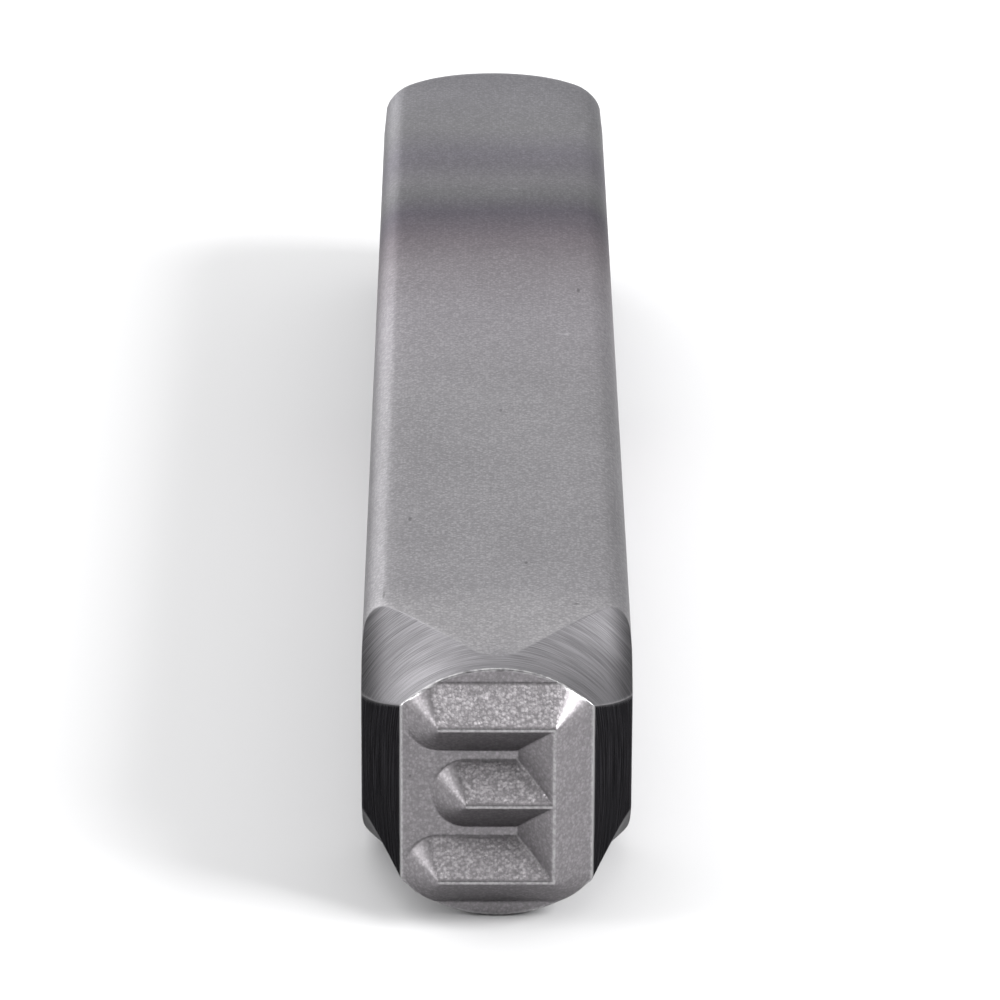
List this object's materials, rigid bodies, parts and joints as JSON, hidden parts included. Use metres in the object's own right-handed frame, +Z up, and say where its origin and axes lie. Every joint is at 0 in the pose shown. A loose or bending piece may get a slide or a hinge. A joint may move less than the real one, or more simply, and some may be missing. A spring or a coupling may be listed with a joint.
{
  "type": "steel letter punch",
  "caption": "Square steel bar with a turned head that carries one raised, mirror-reversed capital letter, and a rounded end that is struck with a hammer to stamp the letter.",
  "frame": {"origin": "on the surface that the shank lies on, under the middle of the punch's length", "axes": "+Y from the letter towards the struck end, +Z up from the side that rests, +X to the right seen from in front of the letter"},
  "size_m": [0.01, 0.07, 0.01],
  "materials": {
    "tool_steel": "blasted grey tool steel with a satin sheen, grinding lines round the head and on its two side flats, and faint temper colours across the shank near the struck end"
  },
  "bodies": {
    "root": {"punch": "tool_steel"}
  },
  "joints": []
}
